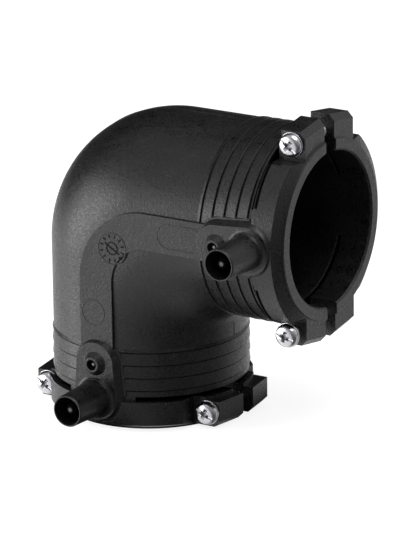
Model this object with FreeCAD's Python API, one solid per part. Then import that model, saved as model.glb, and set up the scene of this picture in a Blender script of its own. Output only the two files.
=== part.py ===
import FreeCAD, Part
import math
import os

# A right-angle elbow that welds two polyethylene pipes together. Each pipe end slides into
# a socket, and a resistance winding hidden in the socket wall melts the two into one.
# A split ring at each mouth, drawn together by two screws, grips the pipe meanwhile.
#
# Frame: the part stands on its lower socket. The origin is the centre of that mouth, +Z
# runs up its axis, the side socket opens along +X and the terminals face -Y.
# While the pieces are made, the origin is where both socket axes cross. A station is a
# distance along a socket's axis from there. One socket is made, the side one, and the
# lower one is its mirror image in the slanting plane between the two axes.

V = FreeCAD.Vector
CROSSING = V(0, 0, 0)
ALONG = V(1, 0, 0)
FRONT = V(0, -1, 0)

# Pipe, sockets and bend
pipe_d = 50.0
bore_clearance = 0.25
socket_wall = 6.55
centre_to_mouth = 68.5
insertion_depth = 42.5
stop_ledge = 3.25
bend_pivot = 12.7
mouth_chamfer = 0.6
mouth_chamfer_length = 0.5

# Split ring at each mouth
ring_rise = 1.5
ring_length = 10.1
cone_length = 1.9
lip_width = 3.95
lip_step = 0.45
slot_width = 1.4
web_half_angle = 23.0
gap_width = 6.0

# Lugs that carry the ring's screws
lug_inset = 0.9
lug_setback = 0.65
lug_reach = 14.8
lug_cover = 6.4
lug_slope = 0.15
lug_chamfer_length = 1.9
lug_chamfer_drop = 1.95
pocket_clearance = 1.2

# Screws
screw_r = 2.0
screw_length = 30.0
screw_inset = 5.3
screw_sink = 2.5
head_r = 4.1
head_height = 2.9
head_edge = 2.0
crown_margin = 0.5
recess_reach = 2.3
recess_width = 0.8
recess_depth = 1.7
slack_screw_lift = 3.3
clearance_hole_gap = 0.25
thread_hole_gap = 0.03
screw_point = 0.6

# Ribs round each socket, lapped like roof tiles: each rises towards the mouth and ends at a
# fine groove
rib_height = 0.38
rib_lead = 3.6
rib_root_depth = 1.0
rib_pitch = 4.25
rib_groove_depth = 0.75
rib_groove_width = 0.5
rib_groove_lean = 0.1
rib_fall = 0.36
rib_land_rise = 0.03
side_rib_start = 39.0
side_ribs = 5
lower_rib_start = 42.0
lower_ribs = 4
rib_to_pad = 0.5

# Flat band that joins the two pads round the bend
band_rise = 0.6
band_half_width = 6.1
band_bend_r = 18.7

# Pad that carries the terminal and the indicator
pad_rise = 2.2
pad_terminal_r = 7.9
pad_indicator_r = 7.0
pad_draft = 0.43
pad_root_depth = 3.2

# Terminal and the shroud round it
terminal_inset = 10.9
shroud_height = 16.3
shroud_mouth_r = 5.25
shroud_wall = 0.55
shroud_flare = 0.5
shroud_fillet = 1.3
shroud_bevel = 0.4
shroud_floor = 2.0
terminal_r = 2.0
terminal_root_r = 2.5
terminal_recess = 1.7
terminal_chamfer = 0.9

# Indicator beside each terminal
indicator_pitch = 11.3
indicator_rise = 1.8
indicator_hole_r = 1.75
indicator_rim = 0.7
indicator_base_r = 4.05
indicator_well_depth = 1.0
indicator_pin_r = 1.2
indicator_tip_r = 0.6
indicator_recess = 1.0
indicator_gap = 0.05

# Winding in the wall, one wire from terminal to terminal
coil_skin = 0.5
coil_thickness = 1.0
coil_length = 20.0
coil_inset = 14.3
wire_r = 0.4

# Sizes that follow from those above
bore_r = pipe_d / 2 + bore_clearance
socket_r = bore_r + socket_wall
passage_r = bore_r - stop_ledge
stop_station = centre_to_mouth - insertion_depth
ring_r = socket_r + ring_rise
ring_station = centre_to_mouth - ring_length
slot_station = ring_station - slot_width
lip_r = bore_r + lip_width
screw_station = centre_to_mouth - screw_inset
screw_offset = ring_r - screw_sink
pocket_floor = screw_offset - head_r - pocket_clearance
lug_peak = screw_offset + lug_cover
terminal_station = centre_to_mouth - terminal_inset
indicator_station = terminal_station - indicator_pitch
pad_front = socket_r + pad_rise
pad_root = socket_r - pad_root_depth
band_front = socket_r + band_rise
shroud_front = pad_front + shroud_height
shroud_base = pad_front + shroud_floor
indicator_front = pad_front + indicator_rise
coil_inner_r = bore_r + coil_skin
coil_outer_r = coil_inner_r + coil_thickness
coil_middle_r = (coil_inner_r + coil_outer_r) / 2
rib_crest = socket_r + rib_height
rib_root = socket_r - rib_root_depth
coil_end = centre_to_mouth - coil_inset
coil_start = coil_end - coil_length
cut_margin = 2.0
rounding_steps = 3


def cylinder(radius, start, end):
    """A cylinder between two points."""
    run = end - start
    return Part.makeCylinder(radius, run.Length, start, run)


def fused(shapes):
    """One shape from several that touch or overlap."""
    whole = shapes[0].multiFuse(shapes[1:]) if len(shapes) > 1 else shapes[0]
    return whole.removeSplitter()


def mirrored(shape):
    """The lower socket's copy of something made for the side socket."""
    return shape.mirror(CROSSING, V(1, 0, 1))


def both(shape):
    """A shape with its mirror image."""
    return [shape, mirrored(shape)]


def placed(shape):
    """A finished piece, moved to the frame that is handed over."""
    moved = shape.copy()
    moved.translate(V(0, 0, centre_to_mouth))
    return moved


def turned_profile(points, centre, axis, span=360.0):
    """A closed outline spun about an axis."""
    wire = Part.makePolygon(points + points[:1])
    return Part.Face(wire).revolve(centre, axis, span)


def elbow_tube(tube_r, reach):
    """A solid bent tube: a round section swung about the pivot, and a straight run each way."""
    half_width = math.sqrt(tube_r ** 2 - bend_pivot ** 2)
    low_front, low_rear = V(bend_pivot, -half_width, -bend_pivot), V(bend_pivot, half_width, -bend_pivot)
    arc = Part.Arc(low_front, V(bend_pivot, 0, tube_r), low_rear).toShape()
    section = Part.Face(Part.Wire([arc, Part.makeLine(low_rear, low_front)]))
    heel = section.revolve(V(bend_pivot, 0, -bend_pivot), V(0, 1, 0), -90.0)
    run = cylinder(tube_r, V(bend_pivot, 0, 0), V(reach, 0, 0))
    return fused([heel] + both(run))


def turned_at(station, offset, points):
    """A piece turned about an axis that faces the front. Points are radius and reach."""
    outline = [V(station + radius, -front, offset) for radius, front in points]
    return turned_profile(outline, V(station, 0, offset), FRONT)


def rounding(radius, front, radius_span, front_span):
    """Points of a quarter oval, from its end on the radius side to its end in front."""
    turns = [math.pi / 2 * i / rounding_steps for i in range(rounding_steps + 1)]
    return [(radius + radius_span * math.cos(t), front + front_span * math.sin(t)) for t in turns]


def ring_blank():
    """The thick ring at the mouth, with its shallow cone and its lip, before it is split."""
    lip_station = centre_to_mouth - lip_step
    outline = [
        V(slot_station, 0, 0), V(slot_station, 0, socket_r), V(ring_station, 0, socket_r),
        V(ring_station, 0, ring_r), V(lip_station - cone_length, 0, ring_r),
        V(lip_station, 0, lip_r), V(centre_to_mouth, 0, lip_r), V(centre_to_mouth, 0, 0)]
    return turned_profile(outline, CROSSING, ALONG)


def lug_outline(station, drop):
    """The roof-shaped section of a pair of lugs, seen along the socket."""
    peak = lug_peak - drop
    eaves = peak - lug_slope * lug_reach
    points = [
        V(station, -lug_reach, pocket_floor), V(station, -lug_reach, eaves),
        V(station, 0, peak), V(station, lug_reach, eaves),
        V(station, lug_reach, pocket_floor)]
    return Part.makePolygon(points + points[:1])


def lug_pair():
    """The block on the ring that the gap later divides into two lugs."""
    start = ring_station + lug_inset
    end = centre_to_mouth - lug_setback
    bevel = end - lug_chamfer_length
    straight = Part.makeLoft([lug_outline(start, 0), lug_outline(bevel, 0)], True, True)
    bevelled = Part.makeLoft([lug_outline(bevel, 0), lug_outline(end, lug_chamfer_drop)], True, True)
    return fused([straight, bevelled])


def opposite(shape):
    """The copy on the other side of the socket's axis, across from the first."""
    return shape.mirror(CROSSING, V(0, 0, 1))


def screw_pockets():
    """The four flats beside the lugs, where a screw head has room to turn."""
    length = ring_length + cut_margin
    depth = lug_peak
    front = Part.makeBox(length, depth, depth, V(ring_station, -lug_reach - depth, pocket_floor))
    rear = Part.makeBox(length, depth, depth, V(ring_station, lug_reach, pocket_floor))
    pair = [front, rear]
    return pair + [opposite(block) for block in pair]


def ring_gaps():
    """The two openings that split the ring, one at each pair of lugs."""
    start = slot_station + slot_width / 2
    length = centre_to_mouth + cut_margin - start
    height = lug_peak + cut_margin
    return Part.makeBox(length, gap_width, 2 * height, V(start, -gap_width / 2, -height))


def ring_slots():
    """The two curved slots that free the ring from the socket between its webs."""
    inner = bore_r - cut_margin
    outer = ring_r + cut_margin
    first = math.radians(web_half_angle)
    out = V(0, -math.cos(first), math.sin(first))
    outline = [
        V(slot_station, 0, 0) + out * inner, V(slot_station, 0, 0) + out * outer,
        V(ring_station, 0, 0) + out * outer, V(ring_station, 0, 0) + out * inner]
    slot = turned_profile(outline, CROSSING, V(-1, 0, 0), 180.0 - 2 * web_half_angle)
    return [slot, opposite(slot)]


def screw_holes():
    """The hole through one pair of lugs: a free fit in front and a tight one behind."""
    front = cylinder(
        screw_r + clearance_hole_gap,
        V(screw_station, -lug_reach - cut_margin, screw_offset),
        V(screw_station, 0, screw_offset))
    rear = cylinder(
        screw_r + thread_hole_gap,
        V(screw_station, 0, screw_offset),
        V(screw_station, lug_reach + cut_margin, screw_offset))
    return [front, rear, opposite(front), opposite(rear)]


def hull_outline(front, terminal_radius, indicator_radius):
    """The egg-shaped outline round the terminal and the indicator, on one level."""
    centre = V(terminal_station, -front, 0)
    second = V(indicator_station, -front, 0)
    lean = (terminal_radius - indicator_radius) / indicator_pitch
    rise = math.sqrt(1 - lean * lean)
    up, down = V(lean, 0, rise), V(lean, 0, -rise)
    near = Part.Arc(
        centre + up * terminal_radius, centre + V(terminal_radius, 0, 0),
        centre + down * terminal_radius)
    far = Part.Arc(
        second + down * indicator_radius, second - V(indicator_radius, 0, 0),
        second + up * indicator_radius)
    lower = Part.LineSegment(centre + down * terminal_radius, second + down * indicator_radius)
    upper = Part.LineSegment(second + up * indicator_radius, centre + up * terminal_radius)
    return Part.Wire([part.toShape() for part in (near, lower, far, upper)])


def pad_level(front, margin=0.0):
    """The pad's outline at some distance in front of the axes."""
    spread = pad_draft * (pad_front - front) + margin
    return hull_outline(front, pad_terminal_r + spread, pad_indicator_r + spread)


def pad():
    """The raised pad, with sloping sides."""
    return Part.makeLoft([pad_level(pad_root), pad_level(pad_front)], True, True)


def rib_sleeve(first):
    """The thicker stretch of a socket that the ribs are cut in, with its gentle lead-in."""
    return turned_profile([
        V(first - rib_lead, 0, rib_root), V(first, 0, rib_crest),
        V(slot_station, 0, rib_crest), V(slot_station, 0, rib_root)], CROSSING, ALONG)


def rib_cut(first, count):
    """What is cut away to leave the ribs. It stops short of the pad and the band."""
    outline = []
    for i in range(count):
        start = first + rib_pitch * i
        outline += [
            V(start, 0, rib_crest + rib_land_rise),
            V(start + rib_groove_lean, 0, rib_crest - rib_groove_depth),
            V(start + rib_groove_width, 0, rib_crest - rib_fall)]
    outline += [
        V(slot_station, 0, rib_crest - rib_fall), V(slot_station, 0, rib_crest + cut_margin),
        V(first, 0, rib_crest + cut_margin)]
    grooves = turned_profile(outline, CROSSING, ALONG)
    clear = Part.makeLoft([pad_level(bore_r / 2, rib_to_pad), pad_level(pad_front, rib_to_pad)], True, True)
    along_band = band_face(band_half_width).extrude(V(0, -2 * socket_r, 0))
    return grooves.cut([clear, along_band])


def band_face(half_width):
    """The band's outline in the plane of the axes: straight, round the bend, straight."""
    inner = band_bend_r - half_width
    outer = band_bend_r + half_width
    middle = V(band_bend_r, 0, -band_bend_r)
    slant = V(-math.sqrt(0.5), 0, math.sqrt(0.5))
    left, top = V(-1, 0, 0), V(0, 0, 1)
    drop, run = V(0, 0, -indicator_station), V(indicator_station, 0, 0)
    edges = [
        Part.LineSegment(drop - left * half_width, middle + left * inner),
        Part.Arc(middle + left * inner, middle + slant * inner, middle + top * inner),
        Part.LineSegment(middle + top * inner, run - top * half_width),
        Part.LineSegment(run - top * half_width, run + top * half_width),
        Part.LineSegment(run + top * half_width, middle + top * outer),
        Part.Arc(middle + top * outer, middle + slant * outer, middle + left * outer),
        Part.LineSegment(middle + left * outer, drop + left * half_width),
        Part.LineSegment(drop + left * half_width, drop - left * half_width)]
    return Part.Face(Part.Wire([edge.toShape() for edge in edges]))


def band():
    """The flat band over the wire between the sockets."""
    face = band_face(band_half_width)
    face.translate(V(0, -pad_root, 0))
    return face.extrude(V(0, pad_root - band_front, 0))


def shroud():
    """The sleeve round the terminal: a slight flare, and a rounding where it leaves the pad."""
    base_r = shroud_mouth_r + shroud_flare
    foot_r = base_r + shroud_fillet
    outline = [
        (0, shroud_front), (shroud_mouth_r - shroud_bevel / 2, shroud_front),
        (shroud_mouth_r, shroud_front - shroud_bevel)]
    outline += rounding(foot_r, pad_front + shroud_fillet, -shroud_fillet, -shroud_fillet)
    outline += [(foot_r, pad_root), (0, pad_root)]
    return turned_at(terminal_station, 0, outline)


def shroud_cavity():
    """The socket that a lead's plug enters."""
    radius = shroud_mouth_r - shroud_wall
    return turned_at(terminal_station, 0, [
        (0, shroud_base), (radius, shroud_base), (radius, shroud_front + cut_margin),
        (0, shroud_front + cut_margin)])


def terminal_pin():
    """A contact pin with a bevelled tip, on a wider root set in the wall."""
    tip = shroud_front - terminal_recess
    return turned_at(terminal_station, 0, [
        (0, coil_inner_r), (terminal_root_r, coil_inner_r), (terminal_root_r, shroud_base),
        (terminal_r, shroud_base), (terminal_r, tip - terminal_chamfer),
        (terminal_r - terminal_chamfer, tip), (0, tip)])


def indicator_boss():
    """The little cone that the indicator rises in."""
    rim_r = indicator_hole_r + indicator_rim
    return turned_at(indicator_station, 0, [
        (0, pad_root), (indicator_base_r, pad_root), (indicator_base_r, pad_front),
        (rim_r, indicator_front), (0, indicator_front)])


def indicator_well():
    """The wide mouth and the narrow guide below it, down to just above the winding."""
    floor = coil_outer_r + coil_skin
    shoulder = pad_front - indicator_well_depth
    guide = indicator_pin_r + indicator_gap
    return turned_at(indicator_station, 0, [
        (0, floor), (guide, floor), (guide, shoulder), (indicator_hole_r, shoulder),
        (indicator_hole_r, indicator_front + cut_margin), (0, indicator_front + cut_margin)])


def indicator_pin():
    """The pin that the melt pushes out to show that the joint has been made."""
    floor = coil_outer_r + coil_skin + indicator_gap
    shoulder = pad_front - indicator_well_depth
    tip = indicator_front - indicator_recess
    return turned_at(indicator_station, 0, [
        (0, floor), (indicator_pin_r, floor), (indicator_pin_r, shoulder),
        (indicator_tip_r, tip), (0, tip)])


def clamp_screw():
    """A pan-head screw with a cross recess, its head on the front lug."""
    crown_r = recess_reach + crown_margin
    tip = lug_reach - screw_length
    outline = rounding(crown_r, lug_reach + head_edge, head_r - crown_r, head_height - head_edge)
    outline += [
        (0, lug_reach + head_height), (0, tip), (screw_r - screw_point, tip),
        (screw_r, tip + screw_point), (screw_r, lug_reach), (head_r, lug_reach)]
    return turned_at(screw_station, screw_offset, outline).cut(cross_recess())


def slackened(screw):
    """A screw that has been backed out a few turns."""
    loose = screw.copy()
    loose.translate(FRONT * slack_screw_lift)
    return loose


def cross_recess():
    """Two crossing grooves in the screw's head."""
    top = lug_reach + head_height + cut_margin
    height = recess_depth + cut_margin
    arms = []
    for long_side, short_side in ((recess_reach, recess_width / 2), (recess_width / 2, recess_reach)):
        corner = V(screw_station - long_side, -top, screw_offset - short_side)
        arms.append(Part.makeBox(2 * long_side, height, 2 * short_side, corner))
    return arms


def coil_sleeve():
    """The turns of one winding, lying side by side as one sleeve in the wall."""
    return turned_profile([
        V(coil_start, 0, coil_inner_r), V(coil_end, 0, coil_inner_r),
        V(coil_end, 0, coil_outer_r), V(coil_start, 0, coil_outer_r)], CROSSING, ALONG)


def wire_tail():
    """The wire's end, from the winding to the terminal's root."""
    start = V(coil_end, -coil_middle_r, 0)
    return cylinder(wire_r, start, V(terminal_station, -coil_middle_r, 0)).cut(terminal_pin())


def link_wire():
    """The stretch of wire under the band, from one winding to the other."""
    inset = band_bend_r * (1 - math.sqrt(0.5))
    path = [(0, coil_start), (0, band_bend_r), (inset, inset), (band_bend_r, 0), (coil_start, 0)]
    points = [V(run, -coil_middle_r, -drop) for run, drop in path]
    sweep = Part.BRepOffsetAPI.MakePipeShell(Part.makePolygon(points))
    sweep.setTransitionMode(1)
    sweep.add(Part.Wire([Part.makeCircle(wire_r, points[0])]))
    sweep.build()
    sweep.makeSolid()
    return sweep.shape()


def heating_winding():
    """Both windings, the link and the tails: one length of wire."""
    side = fused([coil_sleeve(), wire_tail()])
    return fused(both(side) + [link_wire()])


def mouth_bore():
    """The hole that takes the pipe, with a chamfer at the mouth."""
    end = centre_to_mouth + cut_margin
    chamfer_start = centre_to_mouth - mouth_chamfer_length
    chamfer_r = bore_r + mouth_chamfer
    return turned_profile([
        V(stop_station, 0, 0), V(stop_station, 0, bore_r), V(chamfer_start, 0, bore_r),
        V(centre_to_mouth, 0, chamfer_r), V(end, 0, chamfer_r), V(end, 0, 0)], CROSSING, ALONG)


def elbow_body():
    """The moulding: sockets, bend, clamp rings, lugs, pads, shrouds and band in one piece."""
    lugs = lug_pair()
    ring = fused([ring_blank(), lugs, opposite(lugs)]).cut(screw_pockets())
    front = [ring, pad(), shroud(), indicator_boss()]
    side = fused(front + [rib_sleeve(side_rib_start)])
    lower = mirrored(fused(front + [rib_sleeve(lower_rib_start)]))
    outside = fused([elbow_tube(socket_r, slot_station), band(), side, lower])
    hollows = [elbow_tube(passage_r, stop_station), rib_cut(side_rib_start, side_ribs)]
    hollows.append(mirrored(rib_cut(lower_rib_start, lower_ribs)))
    cuts = [mouth_bore(), ring_gaps(), shroud_cavity(), indicator_well(), terminal_pin()]
    cuts += ring_slots() + screw_holes()
    for cut in cuts:
        hollows += both(cut)
    hollows.append(heating_winding())
    return outside.cut(hollows).removeSplitter()


def nodes():
    """Every piece by name, in the frame of the crossing."""
    screw = clamp_screw()
    pieces = {"elbow_body": elbow_body(), "heating_winding": heating_winding()}
    for name, shape in (
            ("terminal_pin", terminal_pin()), ("fusion_indicator", indicator_pin()),
            ("clamp_screw_outer", screw), ("clamp_screw_inner", opposite(screw))):
        pieces[name + "_side"] = shape
        pieces[name + "_lower"] = mirrored(shape)
    pieces["clamp_screw_inner_side"] = slackened(opposite(screw))
    return pieces


os.makedirs("parts", exist_ok=True)
for name, shape in nodes().items():
    finished = placed(shape)
    print(name, len(finished.Solids), round(finished.Volume, 1), finished.isValid())
    finished.exportStep("parts/" + name + ".step")
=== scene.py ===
"""Dresses the packed pipe elbow: finishes for its nodes, fine pieces, and a plain studio."""

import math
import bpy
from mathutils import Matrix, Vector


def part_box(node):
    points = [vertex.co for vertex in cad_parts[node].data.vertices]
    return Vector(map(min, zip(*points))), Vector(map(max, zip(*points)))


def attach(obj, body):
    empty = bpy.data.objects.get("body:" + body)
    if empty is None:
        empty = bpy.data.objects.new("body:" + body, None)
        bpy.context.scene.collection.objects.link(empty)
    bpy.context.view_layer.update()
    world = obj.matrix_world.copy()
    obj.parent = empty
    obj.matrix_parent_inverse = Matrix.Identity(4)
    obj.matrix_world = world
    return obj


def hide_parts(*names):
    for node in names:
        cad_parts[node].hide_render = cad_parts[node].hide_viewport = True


bl_info = {
    "name": "Welding elbow",
    "version": (1, 0, 0),
    "blender": (4, 5, 0),
    "location": "View3D > Sidebar > Elbow",
    "description": "Finishes and fine pieces of a right-angle pipe elbow",
    "category": "Object",
}

import bmesh
import bpy
from mathutils import Matrix, Vector

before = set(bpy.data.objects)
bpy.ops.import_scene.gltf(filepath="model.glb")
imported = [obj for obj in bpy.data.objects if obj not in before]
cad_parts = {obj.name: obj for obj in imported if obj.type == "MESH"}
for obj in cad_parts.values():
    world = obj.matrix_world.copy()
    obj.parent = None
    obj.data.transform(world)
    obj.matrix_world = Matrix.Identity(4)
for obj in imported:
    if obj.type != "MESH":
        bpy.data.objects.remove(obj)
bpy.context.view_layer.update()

# Where things are on the moulding, in metres. The lower socket's axis is Z, the side socket's
# is X at CROSSING_HEIGHT, and stations are counted along either axis from where they cross.
CROSSING_HEIGHT = 0.0685
SOCKET_RADIUS = 0.0318
BORE_RADIUS = 0.02525
RING_RADIUS = 0.0333
STOP_STATION = 0.026
SLOT_START = 0.0570
SLOT_END = 0.0584
BEND_PIVOT = 0.0127
HEEL_SEAM_END = 0.0386
LOWER_SEAM_END = 0.0412
SIDE_SEAM_END = 0.0382

# The bores lie past this X in the side socket, and below this height in the lower one
SIDE_BORE_START = 0.02
LOWER_BORE_TOP = 0.04

# The winding shows in the bores over these stretches, of X in the side socket and of Z in the
# lower one, and fades out at their ends
SIDE_TURNS = (0.0338, 0.0546)
LOWER_TURNS = (0.0134, 0.0342)
TURNS_FADE = 0.0008

# A mask reaches this far past the faces that it covers, and the painted shadow of the slots
# this far past the slots on to the side ring's edge
BORE_MARGIN = 0.0002
SLOT_MARGIN = 0.0001
SHADOW_REACH = 0.0013

# The marks lie on the band's flat front. A place there is its X and its rise above the side
# socket's axis.
BAND_FRONT = 0.0324
DIAL_PLACE = (0.0066, -0.0071)
DIAL_SHADE_RADIUS = 0.0049
MARK_FOOT = 0.00003
POINTER_WAY = (0.86, 0.0, -0.52)
CIRCLE_PLACE = (-0.0011, -0.0296)
OUTLINE_LEFT = 0.0276
OUTLINE_RIGHT = 0.0365
OUTLINE_REACH = 0.004

# How far each screw is turned, in radians
SCREW_TURNS = {
    "clamp_screw_outer_side": 0.68,
    "clamp_screw_inner_side": 0.3,
    "clamp_screw_outer_lower": 0.63,
    "clamp_screw_inner_lower": 0.42,
}
TERMINAL_NODES = ("terminal_pin_side", "terminal_pin_lower")
INDICATOR_NODES = ("fusion_indicator_side", "fusion_indicator_lower")

QUARTER_TURN = math.pi / 2.0
SQUARE = ((-1, -1), (1, -1), (1, 1), (-1, 1))
WHITE = (1.0, 1.0, 1.0, 1.0)

# The section of a raised line, from foot to foot, in shares of its width and height
RIDGE_SECTION = (
    (-0.5, -0.6), (-0.5, 0.0), (-0.32, 0.7), (0.0, 1.0), (0.32, 0.7), (0.5, 0.0), (0.5, -0.6))

# The grooves of a screw's recess, the cross and then the slot: length and width at the crown,
# length and width at the bottom, depth, and angle
RECESS_GROOVES = (
    (0.0046, 0.0015, 0.0018, 0.0009, 0.0012, 0.0),
    (0.0046, 0.0015, 0.0018, 0.0009, 0.0012, QUARTER_TURN),
    (0.0084, 0.0009, 0.0078, 0.00075, 0.00045, 0.0),
)


# Shader maths


class Term:
    """A node's output that takes part in plain arithmetic."""

    def __init__(self, book, socket):
        self.book = book
        self.socket = socket

    def output(self, name):
        """Another output of the same node."""
        return Term(self.book, self.socket.node.outputs[name])

    def __add__(self, other):
        return self.book.maths("ADD", self, other)

    def __radd__(self, other):
        return self.book.maths("ADD", other, self)

    def __sub__(self, other):
        return self.book.maths("SUBTRACT", self, other)

    def __rsub__(self, other):
        return self.book.maths("SUBTRACT", other, self)

    def __mul__(self, other):
        return self.book.maths("MULTIPLY", self, other)

    def __rmul__(self, other):
        return self.book.maths("MULTIPLY", other, self)

    def __abs__(self):
        return self.book.maths("ABSOLUTE", self)

    def __gt__(self, other):
        return self.book.maths("GREATER_THAN", self, other)

    def __lt__(self, other):
        return self.book.maths("LESS_THAN", self, other)


class NodeBook:
    """Adds nodes to one tree."""

    def __init__(self, tree):
        self.tree = tree
        tree.nodes.clear()

    def add(self, kind, settings=None, inputs=None, output=0):
        """A node with its settings and inputs, given as the term of one of its outputs."""
        node = self.tree.nodes.new(kind)
        for key, value in (settings or {}).items():
            setattr(node, key, value)
        for key, value in (inputs or {}).items():
            if isinstance(value, Term):
                self.tree.links.new(value.socket, node.inputs[key])
            else:
                node.inputs[key].default_value = value
        return Term(self, node.outputs[output]) if node.outputs else None

    def maths(self, operation, *values):
        """One sum on values."""
        return self.add("ShaderNodeMath", {"operation": operation}, dict(enumerate(values)))

    def hypot(self, first, second):
        """How far a point is from an axis, from its two parts across that axis."""
        return self.maths("SQRT", first * first + second * second)

    def smooth(self, value, low, high):
        """A smooth step from 0 at low to 1 at high."""
        return self.add(
            "ShaderNodeMapRange",
            {"interpolation_type": "SMOOTHSTEP"},
            {"Value": value, "From Min": low, "From Max": high},
        )

    def between(self, value, low, high, edge):
        """1 between two limits and 0 outside them, with soft edges."""
        return self.smooth(value, low, low + edge) * (1.0 - self.smooth(value, high - edge, high))

    def towards(self, way, direction):
        """How far a direction points the same way as another, from -1 to 1."""
        settings = {"operation": "DOT_PRODUCT"}
        return self.add("ShaderNodeVectorMath", settings, {0: way, 1: direction}, output="Value")

    def patch(self, way, direction, low, high):
        """A round patch of a surround, 1 in the middle, which fades out from high to low."""
        return self.smooth(self.towards(way, direction), low, high)

    def colour(self, value):
        """A colour as a socket takes it."""
        return value if isinstance(value, Term) else (*value[:3], 1.0)

    def blend_colours(self, factor, first, second):
        """A mix of two colours."""
        inputs = {0: factor, 6: self.colour(first), 7: self.colour(second)}
        return self.add("ShaderNodeMix", {"data_type": "RGBA"}, inputs, output=2)

    def place(self):
        """A point's place on the object, and its three parts."""
        point = self.add("ShaderNodeTexCoord", output="Object")
        parts = self.add("ShaderNodeSeparateXYZ", inputs={0: point})
        return point, *(parts.output(axis) for axis in "XYZ")

    def scaled(self, point, factors, seed):
        """A place scaled along each axis and moved, so that textures differ."""
        settings = {"operation": "MULTIPLY_ADD"}
        return self.add("ShaderNodeVectorMath", settings, {0: point, 1: factors, 2: [seed] * 3})

    def noise(self, point, size, detail=2.0, stretch=(1.0, 1.0, 1.0), seed=0.0):
        """Noise with features of about the given size, from 0 to 1."""
        place = self.scaled(point, [part / size for part in stretch], seed)
        inputs = {"Vector": place, "Scale": 1.0, "Detail": detail}
        return self.add("ShaderNodeTexNoise", inputs=inputs)

    def specks(self, point, spacing, radius, share, seed=0.0):
        """Round specks, one in some of the cells of a net."""
        place = self.scaled(point, [1.0 / spacing] * 3, seed)
        inputs = {"Vector": place, "Scale": 1.0}
        distance = self.add("ShaderNodeTexVoronoi", {"feature": "F1"}, inputs)
        chance = self.add("ShaderNodeSeparateColor", inputs={0: distance.output("Color")})
        size = radius / spacing
        return (1.0 - self.smooth(distance, size * 0.5, size)) * (chance < share)


def new_material(name):
    """An empty node material and its book."""
    material = bpy.data.materials.new(name)
    material.use_nodes = True
    return material, NodeBook(material.node_tree)


def close_material(book, surface):
    """Joins a surface to the material's output."""
    book.add("ShaderNodeOutputMaterial", inputs={"Surface": surface})


def principled(book, inputs):
    """A plain surface with the inputs that aren't at their defaults."""
    return book.add("ShaderNodeBsdfPrincipled", inputs=inputs)


def eased_edges(book, radius):
    """The normal with sharp edges eased over a small radius."""
    return book.add("ShaderNodeBevel", {"samples": 6}, {"Radius": radius})


def plain_normal(book):
    """The normal of the mesh as it is."""
    return book.add("ShaderNodeNewGeometry", output="Normal")


def raised(book, height, normal):
    """A normal that follows a height in metres."""
    inputs = {"Strength": 1.0, "Distance": 1.0, "Height": height, "Normal": normal}
    return book.add("ShaderNodeBump", inputs=inputs)


def bore_turns(book, x, z, side_radius, lower_radius, pitch):
    """The winding's turns as a wave in the skin of both bores, and 0 everywhere else."""
    turn = math.tau / pitch
    skin = BORE_RADIUS + BORE_MARGIN
    side = (side_radius < skin) * book.between(x, *SIDE_TURNS, TURNS_FADE)
    lower = (lower_radius < skin) * book.between(z, *LOWER_TURNS, TURNS_FADE)
    return book.maths("SINE", x * turn) * side + book.maths("SINE", z * turn) * lower


def scratch_marks(book, point):
    """Fine scratches in two directions, broken up into patches."""
    patch_size, width = 0.011, 0.00045
    patches = book.smooth(book.noise(point, patch_size, seed=31.0), 0.48, 0.7)
    first = book.noise(point, width, detail=1.0, stretch=(0.05, 1.0, 1.0), seed=41.0)
    second = book.noise(point, width, detail=1.0, stretch=(1.0, 1.0, 0.06), seed=53.0)
    return (book.smooth(first, 0.7, 0.78) + book.smooth(second, 0.71, 0.78)) * patches


def moulding_normal(book, x, z, side_radius, lower_radius, edge_radius):
    """Eased edges, apart from deep in the bores, where the edges are sharp."""
    inside = BORE_RADIUS - 0.0005
    deep = (side_radius < inside) * (x > SIDE_BORE_START)
    deep = deep + (lower_radius < inside) * (z < LOWER_BORE_TOP)
    inputs = {0: deep, 4: eased_edges(book, edge_radius), 5: plain_normal(book)}
    return book.add("ShaderNodeMix", {"data_type": "VECTOR"}, inputs, output=1)


def slot_walls(book, radius, station):
    """The walls of the curved slots behind one ring, where shade is painted."""
    inner, outer = BORE_RADIUS + BORE_MARGIN, SOCKET_RADIUS - 0.0006
    start, end = SLOT_START - SLOT_MARGIN, SLOT_END + SLOT_MARGIN
    return book.between(radius, inner, outer, 0.0002) * book.between(station, start, end, 0.00005)


def painted_shade_mask(book, x, y, z, side_radius, lower_radius):
    """Where little light gets in: the mask for the painted shade."""
    shade = slot_walls(book, side_radius, x)
    shade = shade + slot_walls(book, lower_radius, CROSSING_HEIGHT - z)

    # A painted shadow of the slots reaches a little way on to the edge of the side ring
    rise = z - CROSSING_HEIGHT
    inner, outer = SOCKET_RADIUS + 0.0005, RING_RADIUS + 0.0001
    edge = book.between(x, SLOT_END + SLOT_MARGIN, SLOT_END + SHADOW_REACH, 0.0002)
    edge = edge * (side_radius < outer) * (side_radius > inner)
    shade = shade + edge * (abs(rise) > side_radius * 0.4)

    # The dial's ticks and pointer are painted darker, as their own shade
    off_dial = book.hypot(x - DIAL_PLACE[0], rise - DIAL_PLACE[1])
    proud = y < -BAND_FRONT - MARK_FOOT
    return shade + (off_dial < DIAL_SHADE_RADIUS) * proud * 0.75


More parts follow.
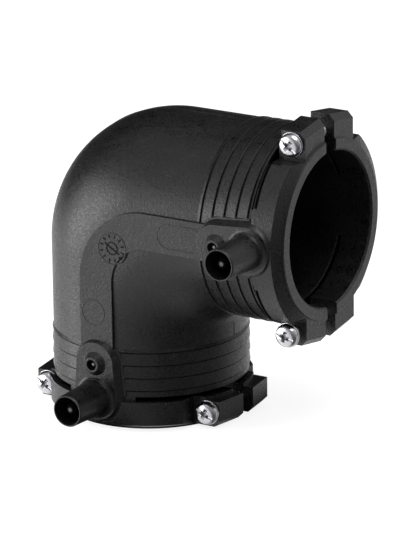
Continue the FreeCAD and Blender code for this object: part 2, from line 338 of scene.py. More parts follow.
def moulded_plastic(settings):
    """Satin black polyethylene as it comes from the mould, lightly scuffed and dusty."""
    material, book = new_material("moulded_polyethylene")
    point, x, y, z = book.place()
    side_radius = book.hypot(y, z - CROSSING_HEIGHT)
    lower_radius = book.hypot(x, y)

    grain = book.noise(point, settings.grain_size)
    peel = book.noise(point, settings.peel_size, detail=3.0, seed=11.0)
    sink = book.noise(point, 0.014, detail=1.0, seed=23.0)
    flow = book.noise(point, 0.004, detail=3.0, stretch=(0.25, 1.0, 0.25), seed=5.0)
    mottle = book.noise(point, 0.0007, detail=3.0, seed=61.0)
    scratches = scratch_marks(book, point) * settings.scuffs
    dust = book.specks(point, spacing=0.0042, radius=0.00022, share=0.22)
    motes = book.specks(point, spacing=0.0019, radius=0.00011, share=0.3, seed=7.0)
    dust, motes = dust * settings.dust, motes * settings.dust
    turns = bore_turns(book, x, z, side_radius, lower_radius, settings.turn_pitch)

    sink_depth, dust_height, scratch_depth = 0.00012, 0.00003, 0.000012
    height = (
        grain * settings.grain_height
        + peel * settings.peel_height
        + sink * sink_depth
        + dust * dust_height
        - scratches * scratch_depth
        + turns * settings.turn_height
    )
    normal = moulding_normal(book, x, z, side_radius, lower_radius, settings.edge_radius)
    bloom = book.smooth(flow, 0.3, 0.75) * 0.35
    bloom = bloom + book.smooth(mottle, 0.42, 0.72) * settings.mottling
    colour = book.blend_colours(bloom, settings.colour, settings.bloom_colour)
    colour = book.blend_colours(scratches * 0.35, colour, settings.dust_colour)
    colour = book.blend_colours(dust * 0.55 + motes * 0.3, colour, settings.dust_colour)
    roughness = (
        settings.roughness
        + (grain - 0.5) * 0.2
        + (mottle - 0.5) * 0.75
        + (flow - 0.5) * 0.2
        + scratches * 0.18
        + dust * 0.3
    )
    lit = principled(book, {
        "Base Color": colour,
        "Roughness": roughness,
        "IOR": 1.5,
        "Normal": raised(book, height, normal),
    })
    # Painted shade: where the mask is 1, the skin is a near-black matt instead of the lit plastic
    painted_shade_black = book.add("ShaderNodeBsdfDiffuse", inputs={"Color": (0.002, 0.002, 0.002, 1.0)})
    shade = painted_shade_mask(book, x, y, z, side_radius, lower_radius)
    surface = book.add("ShaderNodeMixShader", inputs={0: shade, 1: lit, 2: painted_shade_black})
    close_material(book, surface)
    return material


def zinc_plate(settings):
    """Bright zinc on turned steel, with patchy grime, and painted shade in the recess."""
    material, book = new_material("zinc_plated_steel")
    point, x, y, z = book.place()
    radius = book.hypot(x, z)
    cloud = book.noise(point, 0.0022, detail=3.0)
    fine = book.noise(point, 0.0004, seed=3.0)
    turning_pitch = 0.00017
    rings = book.maths("SINE", radius * (math.tau / turning_pitch))
    crown = -settings.head_height
    sunk = book.smooth(y, crown + 0.0003, crown + 0.001)
    recess = (1.0 - book.smooth(radius, 0.0024, 0.003)) * sunk * (y < 0.0)
    shank = book.smooth(y, 0.0, 0.0003)
    # Patchy grime from the cloud, and painted shade deep in the recess
    grime_and_recess_shade = book.smooth(cloud, 0.5, 0.8) * 0.35 + recess * 0.75
    height = fine * 0.00001 + cloud * 0.00003 + rings * 0.0000006
    close_material(book, principled(book, {
        "Base Color": book.blend_colours(grime_and_recess_shade, settings.colour, settings.grime_and_shade_colour),
        "Metallic": 1.0,
        "Roughness": settings.roughness + cloud * 0.1 + recess * 0.2 + shank * 0.3,
        "Normal": raised(book, height, eased_edges(book, 0.00012)),
    }))
    return material


def contact_metal(settings, name, x_axis, z_axis):
    """A contact pin: dull and dark down its side, with a painted highlight on the middle of its
    tip.
    """
    material, book = new_material(name)
    point, x, y, z = book.place()
    cloud = book.noise(point, 0.0008, detail=3.0)
    radius = book.hypot(x - x_axis, z - z_axis)
    turning_pitch = 0.0002
    rings = book.maths("SINE", y * (math.tau / turning_pitch))
    # A painted highlight: pale metal within a small radius of the pin's axis, which only the tip's
    # face shows
    tip_highlight = (1.0 - book.smooth(radius, 0.00055, 0.0008)) * (0.7 + cloud * 0.6)
    height = rings * 0.0000015 + cloud * 0.00001
    close_material(book, principled(book, {
        "Base Color": book.blend_colours(tip_highlight, settings.pin_side_colour, settings.pin_tip_highlight_colour),
        "Metallic": 1.0,
        "Roughness": 0.5 + cloud * 0.16,
        "Normal": raised(book, height, eased_edges(book, 0.0001)),
    }))
    return material


def indicator_plastic(settings, name, x_axis, z_axis):
    """Moulded plastic, paler at the tip, which is the part that is looked for."""
    material, book = new_material(name)
    point, x, y, z = book.place()
    cloud = book.noise(point, 0.0006, detail=3.0)
    radius = book.hypot(x - x_axis, z - z_axis)
    tip = (1.0 - book.smooth(radius, 0.0003, 0.0005)) * (0.7 + cloud * 0.6)
    close_material(book, principled(book, {
        "Base Color": book.blend_colours(tip, settings.indicator_shade, settings.indicator_colour),
        "Roughness": 0.5 + cloud * 0.1,
        "Normal": raised(book, cloud * 0.00001, eased_edges(book, 0.00008)),
    }))
    return material


def resistance_wire(settings):
    """Turns of bare wire, side by side."""
    material, book = new_material("resistance_wire")
    point, x, y, z = book.place()
    cloud = book.noise(point, 0.003)
    turn = math.tau / settings.turn_pitch
    side = book.maths("SINE", x * turn) * (x > STOP_STATION)
    lower = book.maths("SINE", z * turn) * (x < STOP_STATION)
    height = abs(side + lower) * 0.0002
    close_material(book, principled(book, {
        "Base Color": book.blend_colours(cloud, settings.wire_colour, settings.wire_shade),
        "Metallic": 1.0,
        "Roughness": 0.34 + cloud * 0.1,
        "Normal": raised(book, height, plain_normal(book)),
    }))
    return material


# Mesh helpers


def new_object(name, data):
    """An object for a mesh, a lamp or a camera, linked to the scene."""
    made = bpy.data.objects.new(name, data)
    bpy.context.scene.collection.objects.link(made)
    return made


def mesh_object(build, name):
    """An object with the mesh of a bmesh, which is then freed."""
    mesh = bpy.data.meshes.new(name)
    build.normal_update()
    build.to_mesh(mesh)
    build.free()
    return new_object(name, mesh)


def piece_from(build, name, material):
    """A new piece from a bmesh, with its finish."""
    piece = mesh_object(build, name)
    piece.data.materials.append(material)
    return piece


def moulding_piece(build, name):
    """A new piece in the moulding's own plastic."""
    piece = piece_from(build, name, bpy.data.materials["moulded_polyethylene"])
    smooth_faces(piece, 1.2)
    return piece


def smooth_faces(piece, angle):
    """Smooth shading, with edges sharper than an angle kept."""
    mesh = piece.data
    mesh.shade_smooth()
    build = bmesh.new()
    build.from_mesh(mesh)
    for edge in build.edges:
        if len(edge.link_faces) == 2 and edge.calc_face_angle() > angle:
            edge.smooth = False
    build.to_mesh(mesh)
    build.free()


def paint(node_name, material):
    """Gives a CAD node its finish."""
    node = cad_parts[node_name]
    node.data.materials.clear()
    node.data.materials.append(material)


def round_y(radius, angle, height=0.0):
    """A point round the Y axis, at a height along it."""
    return Vector((radius * math.cos(angle), height, radius * math.sin(angle)))


def turned(build, profile, segments):
    """A surface turned round the Y axis, from a profile of radius and height pairs."""
    previous = None
    for radius, height in profile:
        angles = [math.tau * i / segments for i in range(segments)] if radius else [0.0]
        ring = [build.verts.new(round_y(radius, angle, height)) for angle in angles]
        if previous:
            join_rings(build, previous, ring)
        previous = ring


def join_rings(build, first, second):
    """Faces between two rings, either of which may be a point."""
    count = max(len(first), len(second))
    for i in range(count):
        j = (i + 1) % count
        a, b = first[i % len(first)], first[j % len(first)]
        c, d = second[j % len(second)], second[i % len(second)]
        build.faces.new(dict.fromkeys((a, b, c, d)))


def join_rows(build, first, second):
    """Faces between two rows of as many points."""
    for i in range(len(first) - 1):
        build.faces.new((first[i], first[i + 1], second[i + 1], second[i]))


def ridge(build, path, width, height, out, closed):
    """A low rounded ridge along a path, standing up in one direction per point."""
    rows = []
    count = len(path)
    for i, (point, up) in enumerate(zip(path, out)):
        before = path[(i - 1) % count] if closed or i else point
        after = path[(i + 1) % count] if closed or i < count - 1 else point
        across = (after - before).normalized().cross(up).normalized()
        rows.append([
            build.verts.new(point + across * (side * width) + up * (level * height))
            for side, level in RIDGE_SECTION
        ])
    for i in range(count if closed else count - 1):
        join_rows(build, rows[i], rows[(i + 1) % count])
    if not closed:
        build.faces.new(rows[0][::-1])
        build.faces.new(rows[-1])


def arc_path(centre, radius, steps, start=0.0, span=math.tau):
    """Points of an arc in the band's plane. A full circle has no second point at its start."""
    gaps = steps if span == math.tau else steps - 1
    return [centre + round_y(radius, start + span * i / gaps) for i in range(steps)]


# Settings


class MouldingSettings(bpy.types.PropertyGroup):
    """The black moulding."""

    colour: bpy.props.FloatVectorProperty(
        name="Colour", description="Colour of the plastic", size=3,
        subtype="COLOR", min=0.0, max=1.0, default=(0.0026, 0.0026, 0.0031))
    dust_colour: bpy.props.FloatVectorProperty(
        name="Dust colour", description="Colour of dust and scuffs", size=3,
        subtype="COLOR", min=0.0, max=1.0, default=(0.22, 0.22, 0.22))
    bloom_colour: bpy.props.FloatVectorProperty(
        name="Bloom colour", description="Colour of the plastic's faint dull bloom", size=3,
        subtype="COLOR", min=0.0, max=1.0, default=(0.011, 0.0108, 0.0106))
    mottling: bpy.props.FloatProperty(
        name="Mottling", description="How much of the skin is mottled by the bloom",
        subtype="FACTOR", min=0.0, max=1.0, default=0.7)
    roughness: bpy.props.FloatProperty(
        name="Roughness", description="Roughness of the moulded skin",
        subtype="FACTOR", min=0.0, max=1.0, default=0.37)
    grain_size: bpy.props.FloatProperty(
        name="Grain size", description="Size of the fine grain",
        subtype="DISTANCE", min=0.00005, max=0.01, precision=5, default=0.00042)
    grain_height: bpy.props.FloatProperty(
        name="Grain height", description="Height of the fine grain",
        subtype="DISTANCE", min=0.0, max=0.001, precision=6, default=0.000075)
    peel_size: bpy.props.FloatProperty(
        name="Peel size", description="Size of the coarser orange peel",
        subtype="DISTANCE", min=0.0001, max=0.01, precision=5, default=0.0008)
    peel_height: bpy.props.FloatProperty(
        name="Peel height", description="Height of the coarser orange peel",
        subtype="DISTANCE", min=0.0, max=0.001, precision=6, default=0.00008)
    edge_radius: bpy.props.FloatProperty(
        name="Edge radius", description="How far the moulded edges are eased",
        subtype="DISTANCE", min=0.0, max=0.002, precision=5, default=0.0003)
    scuffs: bpy.props.FloatProperty(
        name="Scuffs", description="Strength of the fine scratches",
        subtype="FACTOR", min=0.0, max=1.0, default=0.5)
    dust: bpy.props.FloatProperty(
        name="Dust", description="Strength of the dust specks",
        subtype="FACTOR", min=0.0, max=1.0, default=0.6)
    turn_pitch: bpy.props.FloatProperty(
        name="Turn pitch", description="Distance between the winding's turns",
        subtype="DISTANCE", min=0.0005, max=0.01, precision=5, default=0.0013)
    turn_height: bpy.props.FloatProperty(
        name="Turn height", description="How far the turns show in the bore's skin",
        subtype="DISTANCE", min=0.0, max=0.001, precision=6, default=0.00001)
    crotch_radius: bpy.props.FloatProperty(
        name="Crotch radius", description="Rounding inside the bend",
        subtype="DISTANCE", min=0.001, max=0.015, precision=4, default=0.005)
    crotch_skin: bpy.props.FloatProperty(
        name="Crotch skin", description="How far the rounding lies over the arms",
        subtype="DISTANCE", min=0.0, max=0.0005, precision=6, default=0.00002)
    seam_width: bpy.props.FloatProperty(
        name="Seam width", description="Width of the mould's parting line",
        subtype="DISTANCE", min=0.00005, max=0.002, precision=5, default=0.00035)
    seam_height: bpy.props.FloatProperty(
        name="Seam height", description="Height of the mould's parting line",
        subtype="DISTANCE", min=0.00002, max=0.001, precision=5, default=0.00012)


class MarkSettings(bpy.types.PropertyGroup):
    """The raised marks on the band."""

    stroke_width: bpy.props.FloatProperty(
        name="Line width", description="Width of the raised lines",
        subtype="DISTANCE", min=0.0001, max=0.002, precision=5, default=0.00045)
    stroke_height: bpy.props.FloatProperty(
        name="Line height", description="Height of the raised lines",
        subtype="DISTANCE", min=0.00005, max=0.001, precision=5, default=0.00022)
    dial_radius: bpy.props.FloatProperty(
        name="Dial radius", description="Radius of the dial at the bend",
        subtype="DISTANCE", min=0.001, max=0.01, precision=4, default=0.0052)
    dial_ticks: bpy.props.IntProperty(
        name="Dial ticks", description="Number of ticks round the dial",
        subtype="UNSIGNED", min=3, max=60, default=12)
    circle_radius: bpy.props.FloatProperty(
        name="Circle radius", description="Radius of the plain circle on the lower arm",
        subtype="DISTANCE", min=0.001, max=0.006, precision=4, default=0.0042)


class ScrewSettings(bpy.types.PropertyGroup):
    """The ring's screws."""

    colour: bpy.props.FloatVectorProperty(
        name="Colour", description="Colour of the zinc", size=3,
        subtype="COLOR", min=0.0, max=1.0, default=(0.62, 0.62, 0.65))
    # Colour of the grime, and of the shade painted in the recess
    grime_and_shade_colour: bpy.props.FloatVectorProperty(
        name="Grime colour", description="Colour in the recess", size=3,
        subtype="COLOR", min=0.0, max=1.0, default=(0.16, 0.16, 0.17))
    roughness: bpy.props.FloatProperty(
        name="Roughness", description="Roughness of the zinc",
        subtype="FACTOR", min=0.0, max=1.0, default=0.14)
    head_height: bpy.props.FloatProperty(
        name="Head height", description="Height of the head above its seat",
        subtype="DISTANCE", min=0.0005, max=0.01, precision=4, default=0.0029)
    head_radius: bpy.props.FloatProperty(
        name="Head radius", description="Radius of the head",
        subtype="DISTANCE", min=0.001, max=0.01, precision=5, default=0.00408)
    rim_height: bpy.props.FloatProperty(
        name="Rim height", description="Height of the head's straight rim",
        subtype="DISTANCE", min=0.0001, max=0.002, precision=5, default=0.0006)
    crown_radius: bpy.props.FloatProperty(
        name="Crown radius", description="Radius of the nearly flat crown",
        subtype="DISTANCE", min=0.0005, max=0.004, precision=5, default=0.0026)
    shank_radius: bpy.props.FloatProperty(
        name="Shank radius", description="Radius over the thread",
        subtype="DISTANCE", min=0.0005, max=0.01, precision=4, default=0.00199)
    thread_pitch: bpy.props.FloatProperty(
        name="Thread pitch", description="Distance between threads",
        subtype="DISTANCE", min=0.0003, max=0.005, precision=5, default=0.0014)
    thread_depth: bpy.props.FloatProperty(
        name="Thread depth", description="Depth of the thread",
        subtype="DISTANCE", min=0.0001, max=0.002, precision=5, default=0.00045)


class TerminalSettings(bpy.types.PropertyGroup):
    """The contact pins, the indicators and the winding."""

    # The pale colour is a painted highlight on the pins' tips; the dark one covers the rest of
    # each pin
    pin_tip_highlight_colour: bpy.props.FloatVectorProperty(
        name="Pin colour", description="Colour of the contact pins", size=3,
        subtype="COLOR", min=0.0, max=1.0, default=(0.12, 0.115, 0.11))
    pin_side_colour: bpy.props.FloatVectorProperty(
        name="Pin tarnish", description="Colour of the pins' dull sides", size=3,
        subtype="COLOR", min=0.0, max=1.0, default=(0.006, 0.006, 0.006))
    indicator_colour: bpy.props.FloatVectorProperty(
        name="Indicator colour", description="Colour of the indicators' tips", size=3,
        subtype="COLOR", min=0.0, max=1.0, default=(0.3, 0.29, 0.27))
    indicator_shade: bpy.props.FloatVectorProperty(
        name="Indicator shade", description="Colour of the indicators round the tip", size=3,
        subtype="COLOR", min=0.0, max=1.0, default=(0.008, 0.008, 0.008))
    wire_colour: bpy.props.FloatVectorProperty(
        name="Wire colour", description="Colour of the winding", size=3,
        subtype="COLOR", min=0.0, max=1.0, default=(0.62, 0.42, 0.24))
    wire_shade: bpy.props.FloatVectorProperty(
        name="Wire shade", description="Second colour of the winding", size=3,
        subtype="COLOR", min=0.0, max=1.0, default=(0.48, 0.3, 0.17))
    turn_pitch: bpy.props.FloatProperty(
        name="Turn pitch", description="Distance between the winding's turns",
        subtype="DISTANCE", min=0.0005, max=0.01, precision=5, default=0.0013)


class StageSettings(bpy.types.PropertyGroup):
    """The floor, the lamps and the camera."""

    floor_size: bpy.props.FloatProperty(
        name="Floor size", description="Width of the floor",
        subtype="DISTANCE", min=1.0, max=20.0, default=6.0)
    floor_colour: bpy.props.FloatVectorProperty(
        name="Floor colour", description="Colour of the floor", size=3,
        subtype="COLOR", min=0.0, max=1.0, default=(0.86, 0.86, 0.86))
    left_power: bpy.props.FloatProperty(
        name="Left lamp", description="Power of the large lamp at the left",
        unit="POWER", min=0.0, max=500.0, default=9.0)
    top_power: bpy.props.FloatProperty(
        name="Top lamp", description="Power of the lamp overhead",
        unit="POWER", min=0.0, max=500.0, default=9.0)
    softbox_level: bpy.props.FloatProperty(
        name="Soft light", description="How bright the large soft light looks in gloss",
        subtype="FACTOR", min=0.0, max=10.0, default=4.0)
    tent_level: bpy.props.FloatProperty(
        name="Tent", description="How bright the rest of the surround looks in gloss",
        subtype="FACTOR", min=0.0, max=2.0, default=1.0)
    camera_place: bpy.props.FloatVectorProperty(
        name="Camera place", description="Where the camera stands", size=3,
        subtype="TRANSLATION", unit="LENGTH", default=(0.805486, -1.242540, 0.510505))
    lens: bpy.props.FloatProperty(
        name="Lens", description="Focal length in millimetres",
        unit="CAMERA", min=20.0, max=600.0, default=320.99)


# Operators, one for each piece or group of like pieces


class ELBOW_OT_finish_moulding(bpy.types.Operator):
    """Gives the moulding its satin black skin"""

    bl_idname = "elbow.finish_moulding"
    bl_label = "Moulding"

    def execute(self, context):
        paint("elbow_body", moulded_plastic(context.scene.elbow_moulding))
        return {"FINISHED"}


class ELBOW_OT_add_crotch_blend(bpy.types.Operator):
    """Rounds the inside of the bend, where the two arms meet"""

    bl_idname = "elbow.add_crotch_blend"
    bl_label = "Crotch rounding"

    def execute(self, context):
        settings = context.scene.elbow_moulding
        build = bmesh.new()
        steps, spare = 48, 3
        rows = []
        for step in range(-spare, steps + spare + 1):
            row = self.row(settings, QUARTER_TURN * step / steps)
            rows.append([build.verts.new(point) for point in row])
        for first, second in zip(rows, rows[1:]):
            join_rows(build, first, second)
        piece = moulding_piece(build, "crotch_blend")
        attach(piece, "root")
        return {"FINISHED"}

    def row(self, settings, turn):
        """One line across the rounding, from the flat at the front to the flat at the rear.

        Before its quarter turn and past it, the rounding runs on a little way along an arm.
        """
        run_on = 0.02
        flat_steps, round_steps = 6, 24
        centre_radius = SOCKET_RADIUS + settings.crotch_radius
        radius = SOCKET_RADIUS + settings.crotch_skin
        swing = min(max(turn, 0.0), QUARTER_TURN)
        beyond = abs(turn - swing) * run_on
        away = Vector((-math.cos(swing), 0.0, math.sin(swing)))
        along = Vector((0.0, 0.0, -1.0)) if turn < swing else Vector((1.0, 0.0, 0.0))
        centre = Vector((centre_radius, 0.0, CROSSING_HEIGHT - centre_radius))
        pivot = Vector((BEND_PIVOT, 0.0, CROSSING_HEIGHT - BEND_PIVOT))
        near, far = centre + away * centre_radius, pivot + away * BEND_PIVOT
        points = []
        for side in (-1.0, 1.0):
            half = [
                far.lerp(near, i / flat_steps) + Vector((0.0, side * radius, 0.0))
                for i in range(flat_steps)
            ]
            for i in range(round_steps + 1):
                angle = QUARTER_TURN * i / round_steps
                inward = away * (centre_radius - radius * math.sin(angle))
                half.append(centre + inward + Vector((0.0, side * radius * math.cos(angle), 0.0)))
            points += half if side < 0.0 else half[-2::-1]
        return [point + along * beyond for point in points]


class ELBOW_OT_add_parting_line(bpy.types.Operator):
    """Adds the fine line where the two halves of the mould met"""

    bl_idname = "elbow.add_parting_line"
    bl_label = "Parting line"

    def execute(self, context):
        settings = context.scene.elbow_moulding
        build = bmesh.new()
        for path, out in self.runs(SOCKET_RADIUS, SOCKET_RADIUS + settings.crotch_radius):
            ridge(build, path, settings.seam_width, settings.seam_height, out, False)
        piece = moulding_piece(build, "parting_line")
        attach(piece, "root")
        return {"FINISHED"}

    def runs(self, radius, start):
        """The line's stretches: round the heel, and down each arm inside the bend."""
        pivot = Vector((BEND_PIVOT, 0.0, CROSSING_HEIGHT - BEND_PIVOT))
        points = [Vector((-radius, 0.0, CROSSING_HEIGHT - HEEL_SEAM_END))]
        outward = [Vector((-1.0, 0.0, 0.0))]
        steps = 32
        for i in range(steps + 1):
            away = round_y(1.0, math.pi - QUARTER_TURN * i / steps)
            points.append(pivot + away * (BEND_PIVOT + radius))
            outward.append(away)
        points.append(Vector((HEEL_SEAM_END, 0.0, CROSSING_HEIGHT + radius)))
        outward.append(Vector((0.0, 0.0, 1.0)))
        yield points, outward
        lower = [Vector((radius, 0.0, CROSSING_HEIGHT - s)) for s in (start, LOWER_SEAM_END)]
        yield lower, [Vector((1.0, 0.0, 0.0))] * 2
        side = [Vector((s, 0.0, CROSSING_HEIGHT - radius)) for s in (start, SIDE_SEAM_END)]
        yield side, [Vector((0.0, 0.0, -1.0))] * 2


class ELBOW_OT_add_band_marks(bpy.types.Operator):
    """Adds the plain raised marks on the band: a dial with ticks, a circle and a long outline"""

    bl_idname = "elbow.add_band_marks"
    bl_label = "Band marks"

    def execute(self, context):
        settings = context.scene.elbow_marks
        build = bmesh.new()
        self.dial(build, settings)
        self.circle(build, settings)
        self.outline(build, settings)
        piece = moulding_piece(build, "band_marks")
        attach(piece, "root")
        return {"FINISHED"}

    def stroke(self, build, settings, path, closed=False, share=1.0, rise=1.0):
        """One raised line on the band, with its shares of the usual width and height."""
        width, height = settings.stroke_width * share, settings.stroke_height * rise
        ridge(build, path, width, height, [Vector((0.0, -1.0, 0.0))] * len(path), closed)

    def on_band(self, x, rise):
        """A point on the band's front."""
        return Vector((x, -BAND_FRONT, CROSSING_HEIGHT + rise))

    def dial(self, build, settings):
        """Two rings, ticks between them, and a pointer."""
        centre = self.on_band(*DIAL_PLACE)
        radius = settings.dial_radius
        self.stroke(build, settings, arc_path(centre, radius, 48), True, rise=0.55)
        self.stroke(build, settings, arc_path(centre, radius * 0.38, 32), True, share=0.8)
        for i in range(settings.dial_ticks):
            way = round_y(1.0, math.tau * (i + 0.5) / settings.dial_ticks)
            tick = [centre + way * radius * reach for reach in (0.68, 0.88)]
            self.stroke(build, settings, tick, share=1.1)
        way = Vector(POINTER_WAY)
        pointer = [centre - way * radius * 0.6, centre + way * radius * 0.6]
        self.stroke(build, settings, pointer, share=1.2)

    def circle(self, build, settings):
        """A plain circle on the lower arm."""
        path = arc_path(self.on_band(*CIRCLE_PLACE), settings.circle_radius, 40)
        self.stroke(build, settings, path, True, rise=0.45)

    def outline(self, build, settings):
        """A long outline with round ends on the side arm."""
        right, left = self.on_band(OUTLINE_RIGHT, 0.0), self.on_band(OUTLINE_LEFT, 0.0)
        path = arc_path(right, OUTLINE_REACH, 13, -QUARTER_TURN, math.pi)
        path += arc_path(left, OUTLINE_REACH, 13, QUARTER_TURN, math.pi)
        self.stroke(build, settings, path, True, rise=0.4)


class ELBOW_OT_add_screws(bpy.types.Operator):
    """Puts finely modelled screws in place of the plain ones"""

    bl_idname = "elbow.add_screws"
    bl_label = "Screws"

    def execute(self, context):
        settings = context.scene.elbow_screws
        material = zinc_plate(settings)
        for node, turn in SCREW_TURNS.items():
            low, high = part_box(node)
            seat = low.y + settings.head_height
            build = bmesh.new()
            self.head(build, settings)
            self.shank(build, settings, high.y - seat)
            name = node.replace("clamp_screw", "threaded_screw")
            piece = piece_from(build, name, material)
            self.cut_recess(piece, settings)
            piece.data.transform(Matrix.Rotation(turn, 4, "Y"))
            piece.location = ((low.x + high.x) / 2.0, seat, (low.z + high.z) / 2.0)
            smooth_faces(piece, 0.55)
            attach(piece, "root")
            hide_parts(node)
        return {"FINISHED"}

    def head(self, build, settings):
        """A pan head: flat under, a thin straight rim, a full rounding and a nearly flat crown."""
        radius, height, rim = settings.head_radius, settings.head_height, settings.rim_height
        crown, dome = settings.crown_radius, height * 0.05
        under_edge, rim_edge, shoulder = 0.00015, 0.0001, 0.00022
        profile = [
            (0.0, 0.0),
            (radius - under_edge, 0.0),
            (radius, -under_edge),
            (radius, rim_edge - rim),
            (radius - rim_edge, -rim),
        ]
        steps = 12
        for i in range(steps + 1):
            angle = QUARTER_TURN * i / steps
            profile.append((
                crown + (radius - shoulder - crown) * math.cos(angle),
                -rim - (height - rim - dome) * math.sin(angle)))
        for share in (0.75, 0.5, 0.25, 0.0):
            profile.append((crown * share, -height + dome * share * share))
        turned(build, profile, 72)

    def shank(self, build, settings, length):
        """A threaded shank with a blunt point, rooted inside the head."""
        segments, rows_per_turn, start = 40, 10, -0.0006
        point_length, point_share = 0.0022, 0.45
        flank, flank_curve = 0.36, 0.8
        crest, depth, pitch = settings.shank_radius, settings.thread_depth, settings.thread_pitch
        rows = int((length - start) / pitch * rows_per_turn)
        previous = [build.verts.new((0.0, start, 0.0))]
        for row in range(rows + 1):
            height = start + (length - start) * row / rows
            taper = min(1.0, point_share + (length - height) / point_length)
            ring = []
            for i in range(segments):
                phase = (height / pitch - i / segments) % 1.0
                tooth = max(0.0, 1.0 - abs(phase - 0.5) / flank) ** flank_curve
                radius = (crest - depth + depth * tooth) * taper
                ring.append(build.verts.new(round_y(radius, math.tau * i / segments, height)))
            join_rings(build, previous, ring)
            previous = ring
        join_rings(build, previous, [build.verts.new((0.0, length, 0.0))])

    def cut_recess(self, piece, settings):
        """Cuts the cross and the slot that runs through it."""
        build = bmesh.new()
        for groove in RECESS_GROOVES:
            self.wedge(build, -settings.head_height, *groove)
        bmesh.ops.recalc_face_normals(build, faces=build.faces)
        cutter = mesh_object(build, "recess_cutter")
        cut = piece.modifiers.new("recess", "BOOLEAN")
        cut.operation = "DIFFERENCE"
        cut.solver = "EXACT"
        cut.use_self = True
        cut.object = cutter
        bpy.context.view_layer.update()
        graph = bpy.context.evaluated_depsgraph_get()
        finished = bpy.data.meshes.new_from_object(piece.evaluated_get(graph))
        finished.validate()
        piece.modifiers.clear()
        piece.data = finished
        bpy.data.objects.remove(cutter)

    def wedge(self, build, crown, length, width, low_length, low_width, depth, angle):
        """One tapering groove as a block to cut away, which starts a little above the crown."""
        turn = Matrix.Rotation(angle, 3, "Y")
        corners = []
        for long, wide, height in (
                (length / 2.0, width / 2.0, crown - 0.0004),
                (low_length / 2.0, low_width / 2.0, crown + depth)):
            for a, b in SQUARE:
                corners.append(build.verts.new(turn @ Vector((a * long, height, b * wide))))
        build.faces.new(corners[:4])
        build.faces.new(corners[4:][::-1])
        for i in range(4):
            j = (i + 1) % 4
            build.faces.new((corners[i], corners[j], corners[4 + j], corners[4 + i]))


class ELBOW_OT_finish_terminals(bpy.types.Operator):
    """Gives the contact pins and the indicators their finishes"""

    bl_idname = "elbow.finish_terminals"
    bl_label = "Terminals and indicators"

    def execute(self, context):
        settings = context.scene.elbow_terminals
        for node in TERMINAL_NODES:
            paint(node, contact_metal(settings, node + "_metal", *self.axis(node)))
        for node in INDICATOR_NODES:
            paint(node, indicator_plastic(settings, node + "_plastic", *self.axis(node)))
        return {"FINISHED"}

    def axis(self, node):
        """The X and Z of a pin's axis, which runs along Y."""
        low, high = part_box(node)
        return (low.x + high.x) / 2.0, (low.z + high.z) / 2.0


class ELBOW_OT_finish_winding(bpy.types.Operator):
    """Gives the hidden winding the look of bare wire"""

    bl_idname = "elbow.finish_winding"
    bl_label = "Winding"

    def execute(self, context):
        paint("heating_winding", resistance_wire(context.scene.elbow_terminals))
        return {"FINISHED"}


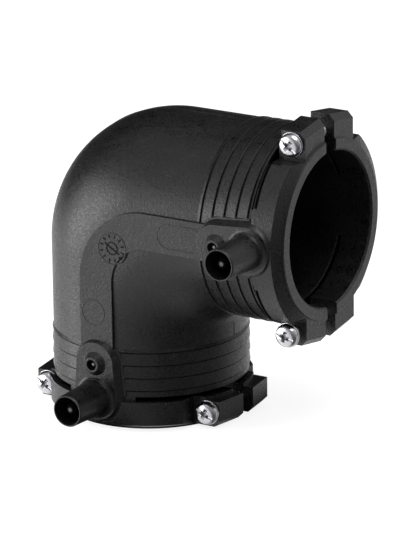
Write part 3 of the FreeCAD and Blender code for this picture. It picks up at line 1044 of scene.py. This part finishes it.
class ELBOW_OT_set_stage(bpy.types.Operator):
    """Sets the pale floor, the soft lamps, the white surround and the camera"""

    bl_idname = "elbow.set_stage"
    bl_label = "Stage"

    def execute(self, context):
        settings = context.scene.elbow_stage
        self.floor(settings)
        self.surround(settings)
        self.lamp("left_lamp", (-0.95, -0.62, 0.5), 0.9, 0.7, settings.left_power)
        self.lamp("top_lamp", (0.3, -0.35, 1.3), 1.0, 1.0, settings.top_power)
        self.camera(settings)
        context.scene.view_settings.view_transform = "Standard"
        return {"FINISHED"}

    def floor(self, settings):
        """A pale floor that shows white to the camera and still takes the shadow.

        Gloss sees a painted shadow on it under the object, and further away sees the surround
        through it.
        """
        half = settings.floor_size / 2.0
        build = bmesh.new()
        build.faces.new([build.verts.new((a * half, b * half, 0.0)) for a, b in SQUARE])
        plane = mesh_object(build, "floor")
        material, book = new_material("pale_floor")
        rays = book.add("ShaderNodeLightPath", output="Is Camera Ray")
        matt = self.matt(book, settings.floor_colour)
        grey, white = self.matt(book, [0.36] * 3), self.glow(book, 0.85)
        seen = book.add("ShaderNodeAddShader", inputs={0: grey, 1: white})
        shown = book.add("ShaderNodeMixShader", inputs={0: rays, 1: matt, 2: seen})

        # Gloss sees a painted shadow under the lower socket and under its terminal, and clear
        # floor away from them
        _, x, y, _ = book.place()
        away = book.smooth(book.hypot(x - 0.012, y - 0.012), 0.024, 0.042)
        away = away * book.smooth(book.hypot(x, y + 0.038), 0.009, 0.02)
        dark, clear = self.glow(book, 0.03), book.add("ShaderNodeBsdfTransparent")
        gloss_floor_shadow_mix = book.add("ShaderNodeMixShader", inputs={0: away, 1: dark, 2: clear})
        gloss = rays.output("Is Glossy Ray")
        surface = book.add("ShaderNodeMixShader", inputs={0: gloss, 1: shown, 2: gloss_floor_shadow_mix})
        close_material(book, surface)
        plane.data.materials.append(material)

    def matt(self, book, colour):
        """A matt surface."""
        return book.add("ShaderNodeBsdfDiffuse", inputs={"Color": book.colour(colour)})

    def glow(self, book, strength):
        """A white glow."""
        return book.add("ShaderNodeEmission", inputs={"Color": WHITE, "Strength": strength})

    def surround(self, settings):
        """White behind the object. Gloss sees a large soft light at the left and a dim tent."""
        world = bpy.data.worlds.new("white_surround")
        bpy.context.scene.world = world
        world.use_nodes = True
        book = NodeBook(world.node_tree)
        camera_ray = book.add("ShaderNodeLightPath", output="Is Camera Ray")
        glossy = camera_ray.output("Is Glossy Ray")
        gloss_ray = book.maths("MAXIMUM", glossy, camera_ray.output("Is Transmission Ray"))
        way = book.add("ShaderNodeTexCoord", output="Generated")
        height = book.towards(way, (0.0, 0.0, 1.0))
        low = 1.0 - book.smooth(height, -0.26, 0.0)

        # The large soft light, and a small one overhead
        across = book.towards(way, (0.545, -0.839, 0.0))
        ahead = book.towards(way, (-0.839, -0.545, 0.0))
        softbox = book.between(across, -0.42, 0.48, 0.12) * book.between(height, -0.37, 0.36, 0.14)
        softbox = softbox * (ahead > 0.0)
        overhead_spot = book.patch(way, (0.35, 0.1, 0.93), 0.88, 0.96)

        # The tent, with brighter patches and a dark one
        left = book.patch(way, (-0.848, -0.53, 0.0), -0.55, 1.0)
        behind = book.patch(way, (0.1, 0.99, 0.0), 0.4, 0.95)
        beside = book.patch(way, (-0.79, 0.38, -0.48), 0.55, 0.95)
        beneath = book.patch(way, (-0.38, -0.3, -0.87), 0.6, 0.95)
        right = book.patch(way, (0.33, 0.85, 0.4), 0.55, 1.0)
        above = book.patch(way, (-0.4, -0.3, 0.87), 0.55, 0.95)
        overhead = book.patch(way, (0.7, 0.1, 0.7), 0.4, 0.9)
        dark = book.patch(way, (-0.79, 0.56, 0.25), 0.5, 0.95) * (1.0 - low)
        tent = (
            0.1
            + left * (0.3 + low * 0.45)
            + behind * low * 0.9
            + beside * 0.5
            + beneath * 0.4
            + right * (1.0 - low) * 0.45
            + above * 0.28
            + overhead * 0.25
        ) * (1.0 - dark * 0.97)
        gloss = tent * settings.tent_level
        gloss = gloss + (softbox + overhead_spot * 0.75) * settings.softbox_level
        matt_level = 0.45
        unseen = gloss_ray * gloss + (1.0 - gloss_ray) * matt_level
        strength = camera_ray + (1.0 - camera_ray) * unseen
        light = book.add("ShaderNodeBackground", inputs={"Color": WHITE, "Strength": strength})
        book.add("ShaderNodeOutputWorld", inputs={"Surface": light})
        world.cycles.sampling_method = "NONE"

    def lamp(self, name, place, width, height, power):
        """A soft rectangular lamp that faces the object, and that gloss doesn't see."""
        light = bpy.data.lights.new(name, "AREA")
        light.shape = "RECTANGLE"
        light.size = width
        light.size_y = height
        light.energy = power
        lamp = new_object(name, light)
        lamp.location = place
        middle = Vector((0.0, 0.0, 0.06))
        lamp.rotation_euler = (middle - Vector(place)).to_track_quat("-Z", "Y").to_euler()
        lamp.visible_camera = False
        lamp.visible_glossy = False

    def camera(self, settings):
        """The camera at the photograph's place, with its small tilt."""
        data = bpy.data.cameras.new("camera")
        data.sensor_width = 36.0
        data.lens = settings.lens
        data.clip_end = 100.0
        camera = new_object("camera", data)
        right = Vector((0.8474008, 0.5307628, -0.0142402))
        up = Vector((-0.1477787, 0.2615299, 0.9538153))
        back = Vector((0.5099739, -0.8061594, 0.3000561))
        turn = Matrix((right, up, back)).transposed()
        camera.matrix_world = Matrix.Translation(settings.camera_place) @ turn.to_4x4()
        bpy.context.scene.camera = camera


class ELBOW_PT_pieces(bpy.types.Panel):
    """Lists the pieces and their settings"""

    bl_label = "Elbow"
    bl_idname = "ELBOW_PT_pieces"
    bl_space_type = "VIEW_3D"
    bl_region_type = "UI"
    bl_category = "Elbow"

    def draw(self, context):
        for operator in OPERATORS:
            self.layout.operator(operator.bl_idname)
        for name, group in SETTINGS.items():
            settings = getattr(context.scene, name)
            box = self.layout.box()
            box.label(text=group.__doc__)
            for key in settings.bl_rna.properties.keys():
                if key not in ("rna_type", "name"):
                    box.prop(settings, key)


SETTINGS = {
    "elbow_moulding": MouldingSettings,
    "elbow_marks": MarkSettings,
    "elbow_screws": ScrewSettings,
    "elbow_terminals": TerminalSettings,
    "elbow_stage": StageSettings,
}
OPERATORS = (
    ELBOW_OT_finish_moulding,
    ELBOW_OT_add_crotch_blend,
    ELBOW_OT_add_parting_line,
    ELBOW_OT_add_band_marks,
    ELBOW_OT_add_screws,
    ELBOW_OT_finish_terminals,
    ELBOW_OT_finish_winding,
    ELBOW_OT_set_stage,
)


def register():
    """Makes the settings, operators and panel known."""
    for name, group in SETTINGS.items():
        bpy.utils.register_class(group)
        setattr(bpy.types.Scene, name, bpy.props.PointerProperty(type=group))
    for operator in OPERATORS:
        bpy.utils.register_class(operator)
    bpy.utils.register_class(ELBOW_PT_pieces)


def unregister():
    """Takes them away again."""
    bpy.utils.unregister_class(ELBOW_PT_pieces)
    for operator in reversed(OPERATORS):
        bpy.utils.unregister_class(operator)
    for name, group in reversed(SETTINGS.items()):
        delattr(bpy.types.Scene, name)
        bpy.utils.unregister_class(group)


def main():
    """Makes everything known and runs every operator."""
    register()
    for operator in OPERATORS:
        group, name = operator.bl_idname.split(".")
        getattr(getattr(bpy.ops, group), name)()


if __name__ == "__main__":
    main()
